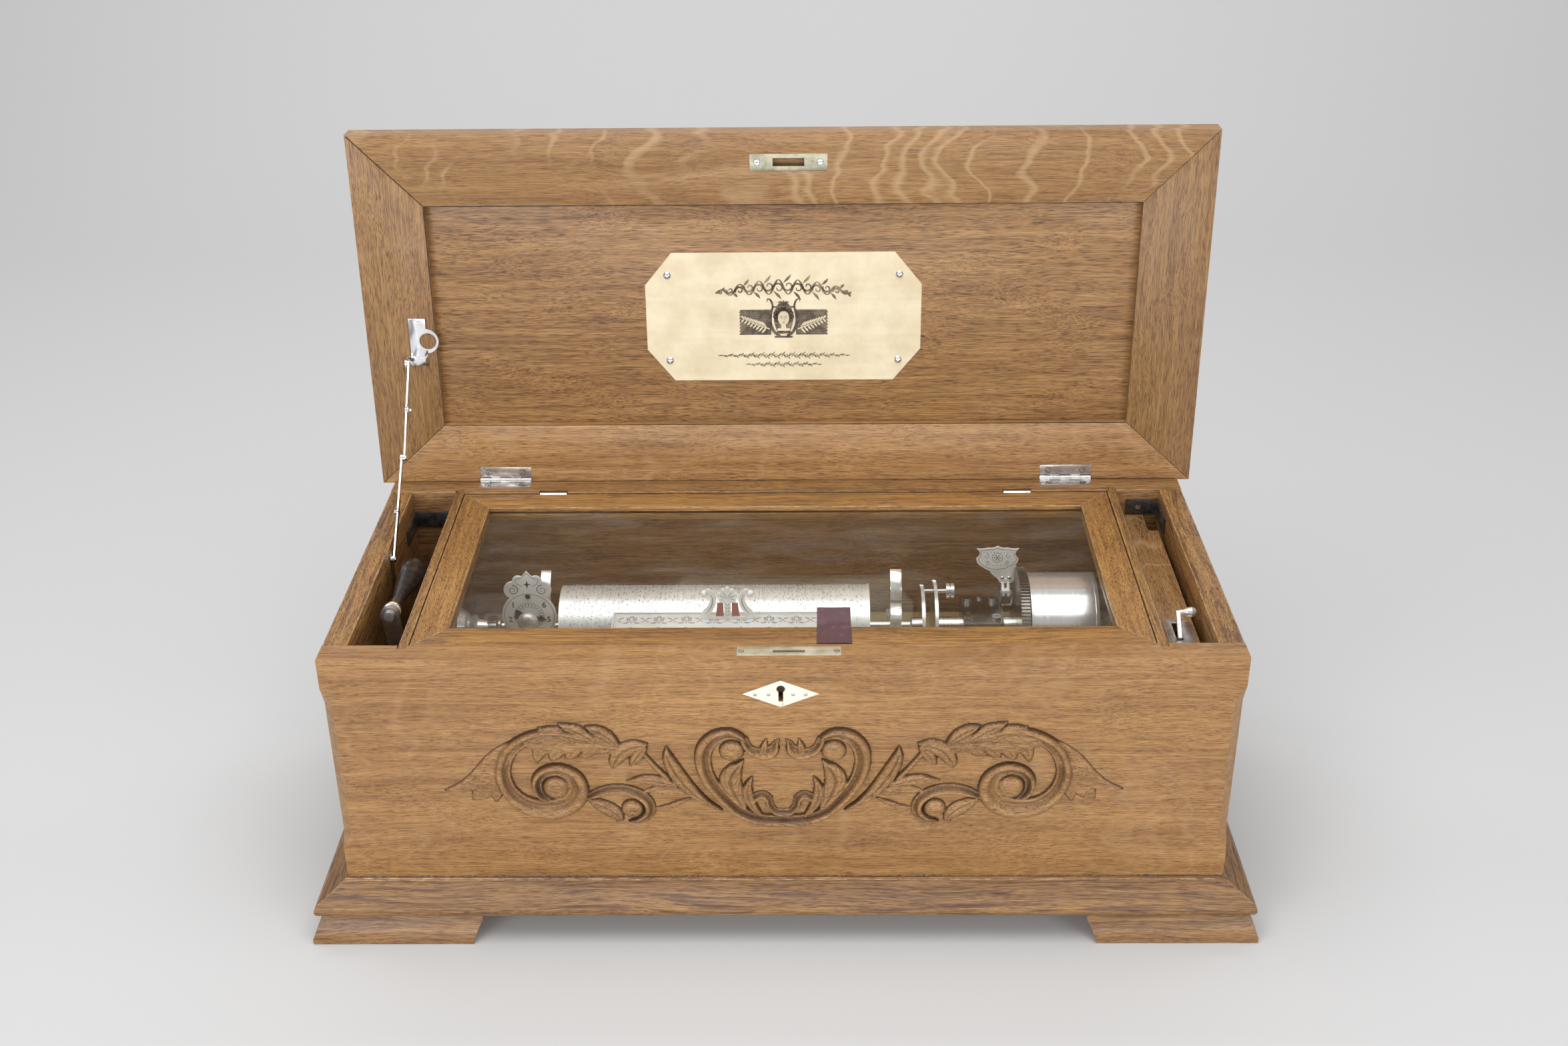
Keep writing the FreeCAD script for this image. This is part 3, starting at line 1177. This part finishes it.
def governor_wheel():
    arbor = cyl_x(1.5, 177.0, 219.0, GOVERNOR_Y, AXIS_Z)
    step = 2 * math.pi / PINION_TEETH
    pinion = gear(PINION_TEETH, GEAR_MODULE, 202.0, 211.5, GOVERNOR_Y, AXIS_Z, 0.4, 0.75, step / 2)
    worm_module = 2 * WORM_WHEEL_R / WORM_WHEEL_TEETH
    wheel = gear(WORM_WHEEL_TEETH, worm_module, 186.5, 191.5, GOVERNOR_Y, AXIS_Z, 0.3, 0.6)
    hub = cyl_x(3.5, 184.0, 203.0, GOVERNOR_Y, AXIS_Z)
    return fuse(arbor, pinion, wheel, hub)


def governor_fan():
    """Endless screw with the two air-brake blades above it."""
    shaft = cyl_z(1.2, 154.0, 211.0, FAN_X, FAN_Y)
    screw = cyl_z(WORM_R, 167.0, 187.0, FAN_X, FAN_Y)
    hub = cyl_z(2.2, 187.0, 206.0, FAN_X, FAN_Y)
    blades = box(FAN_X - 11.0, FAN_X + 11.0, FAN_Y - 0.4, FAN_Y + 0.4, 190.0, 205.0)
    return fuse(shaft, screw, hub, blades)


def start_stop_lever():
    """Lever pivoted low in the compartment, its knob leaning back above the slot."""
    py, pz = LEVER_PIVOT
    x0 = LEVER_X - 1.5
    outline = [(py - 4, pz), (py + 4, pz), (-84.5, COVER_Z + 3), (-68.5, 249.0)]
    outline += [(-72.0, 251.0), (-89.5, COVER_Z + 3)]
    arm = plate_yz(outline, x0, x0 + 3)
    boss = cyl_x(5.0, x0, x0 + 3, py, pz)
    knob_z = 249.0
    swell = [(3, 2.0), (6, 2.0), (9, 3.6), (12.5, 4.4), (15.5, 3.4), (17, 1.2)]
    knob = turned_x([(x0 + x, r) for x, r in swell], -71.0, knob_z)
    lever = fuse(arm, boss, knob)
    return cut(lever, cyl_x(2.0 + RUN_FIT, x0 - 1, x0 + 4, py, pz))


def lever_stud():
    """Part of the control plate's bracket: the stud that the lever turns on."""
    py, pz = LEVER_PIVOT
    stud = cyl_x(2.0, PART_X + PART_T, LEVER_X + 3, py, pz)
    flange = cyl_x(7.0, PART_X + PART_T, LEVER_X - 2.0, py, pz)
    return fuse(stud, flange)


def control_fittings():
    return group(control_plate(), lever_stud())


# ---------------------------------------------------------------- output

NODES = {
    "bottom_board": bottom_board,
    "front_panel": front_panel,
    "back_panel": back_panel,
    "case_ends": case_ends,
    "partitions": partitions,
    "base_mouldings": base_mouldings,
    "bracket_feet": bracket_feet,
    "bed_bearers": bed_bearers,
    "compartment_cover": compartment_cover,
    "front_carving": front_carving,
    "corner_irons": corner_irons,
    "case_wood_screws": case_wood_screws,
    "box_lock": box_lock,
    "lock_bolt": lock_bolt,
    "escutcheon": escutcheon,
    "hinge_case_leaves": hinge_case_leaves,
    "hinge_lid_leaves": lambda: open_lid(group(hinge_leaf(-1, True), hinge_leaf(1, True))),
    "lid_wood_screws": lid_wood_screws,
    "lid_frame_rails": lid_frame_rails,
    "lid_panel": lid_panel,
    "strike_plate": strike_plate,
    "tune_card": tune_card,
    "card_tacks": card_tacks,
    "stay_lid_bracket": stay_lid_bracket,
    "stay_case_bracket": stay_case_bracket,
    "stay_lower_arm": stay_lower_arm,
    "stay_upper_arm": stay_upper_arm,
    "glass_frame_rails": glass_frame_rails,
    "glass_pane": glass_pane,
    "lift_strap": lift_strap,
    "glass_lid_hinges": glass_lid_hinges,
    "crank_arm": crank_arm,
    "crank_handle": crank_handle,
    "bedplate": bedplate,
    "comb_base": comb_base,
    "comb": comb,
    "mechanism_screws": mechanism_screws,
    "zither": zither,
    "pinned_cylinder": cylinder_shell,
    "cylinder_arbor": cylinder_arbor,
    "bearing_pedestals": bearing_pedestals,
    "left_latch": lambda: latch(*LEFT_LATCH_X),
    "right_latch": lambda: latch(*RIGHT_LATCH_X),
    "dial_plate": dial_plate,
    "tune_selector": tune_selector,
    "shift_collar": shift_collar,
    "coupling_pin": coupling_pin,
    "drive_shaft": drive_shaft,
    "drive_block": drive_block,
    "great_wheel": great_wheel,
    "spring_barrel": spring_barrel,
    "mainspring": mainspring,
    "winding_arbor": winding_arbor,
    "winding_click": winding_click,
    "safety_check": safety_check,
    "governor_frame": governor_frame,
    "governor_wheel": governor_wheel,
    "governor_fan": governor_fan,
    "start_stop_lever": start_stop_lever,
    "control_plate": control_fittings,
}


def main():
    os.makedirs("parts", exist_ok=True)
    shapes = {name: make() for name, make in NODES.items()}
    rear = max(v.Point.y for v in shapes["lid_frame_rails"].Vertexes)
    front = -HALF_D - FOOT_OUT
    shift = -(front + rear) / 2
    for name, shape in shapes.items():
        shape.translate(V(0, shift, 0))
        shape.exportStep(f"parts/{name}.step")
    print("shift along Y", round(shift, 4))
    print("lower arm turn", round(LOWER_TURN, 4), "upper arm turn", round(UPPER_TURN, 4))


main()
